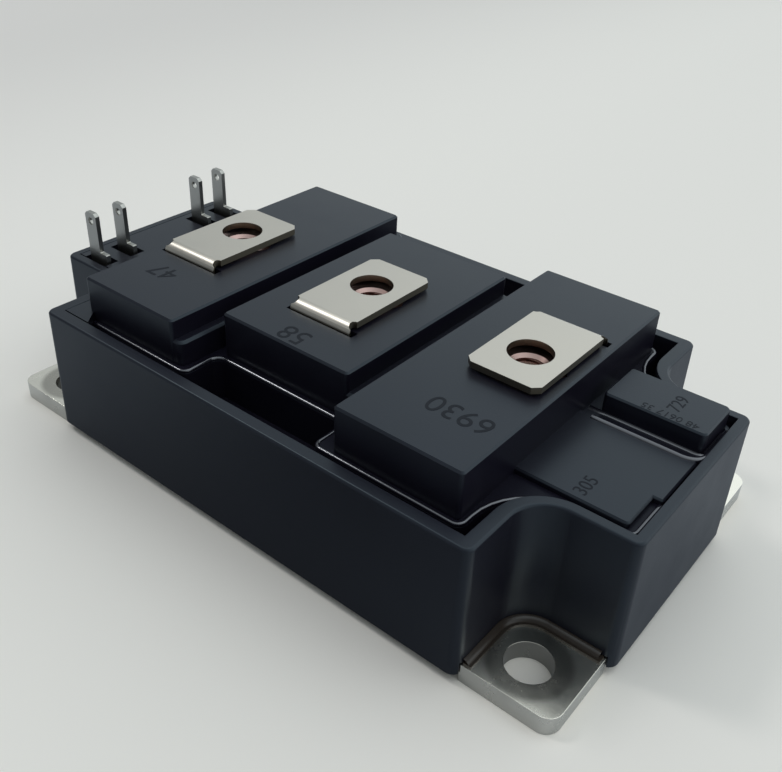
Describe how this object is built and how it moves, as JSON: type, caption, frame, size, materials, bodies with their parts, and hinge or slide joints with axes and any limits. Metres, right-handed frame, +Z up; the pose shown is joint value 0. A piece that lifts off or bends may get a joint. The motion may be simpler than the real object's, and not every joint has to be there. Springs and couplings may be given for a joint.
{
  "type": "igbt power module",
  "caption": "Flat power module with a nickel-plated base plate, a dark moulded case, raised blocks with screw terminals over captive nuts, and flat control tabs.",
  "frame": {"origin": "middle of the base plate's underside", "axes": "+X along the module from the control tabs to the plain end, +Y across it, +Z up out of the base plate"},
  "size_m": [0.1092, 0.062, 0.0305],
  "materials": {
    "bright_nickel": "bright nickel plating",
    "housing_plastic": "satin",
    "lid_plastic": "satin",
    "adhesive": "satin",
    "terminal_nickel": "satin nickel plating",
    "nut_steel": "satin",
    "tab_tin": "satin tin plating",
    "lead_tin": "satin",
    "solder": "satin",
    "alumina": "matte",
    "copper": "satin copper",
    "bond_aluminium": "bright",
    "silicon": "gloss"
  },
  "bodies": {
    "root": {"base_plate": "bright_nickel", "case_frame": "housing_plastic", "lid": "lid_plastic", "case_adhesive": "adhesive", "main_terminal_1": "terminal_nickel", "main_terminal_2": "terminal_nickel", "main_terminal_3": "terminal_nickel", "terminal_nut_1": "nut_steel", "terminal_nut_2": "nut_steel", "terminal_nut_3": "nut_steel", "control_tab_1": "tab_tin", "control_tab_2": "tab_tin", "control_tab_3": "tab_tin", "control_tab_4": "tab_tin", "control_lead_1": "lead_tin", "control_lead_2": "lead_tin", "control_lead_3": "lead_tin", "control_lead_4": "lead_tin", "substrate_solder": "solder", "chip_solder": "solder", "ceramic_1": "alumina", "bottom_copper_1": "copper", "top_copper_1": "copper", "bond_wires_1": "bond_aluminium", "ceramic_2": "alumina", "bottom_copper_2": "copper", "top_copper_2": "copper", "bond_wires_2": "bond_aluminium", "ceramic_3": "alumina", "bottom_copper_3": "copper", "top_copper_3": "copper", "bond_wires_3": "bond_aluminium", "transistor_chip_1": "silicon", "transistor_chip_2": "silicon", "transistor_chip_3": "silicon", "transistor_chip_4": "silicon", "transistor_chip_5": "silicon", "transistor_chip_6": "silicon", "diode_chip_1": "silicon", "diode_chip_2": "silicon", "diode_chip_3": "silicon", "diode_chip_4": "silicon", "diode_chip_5": "silicon", "diode_chip_6": "silicon"}
  },
  "joints": []
}
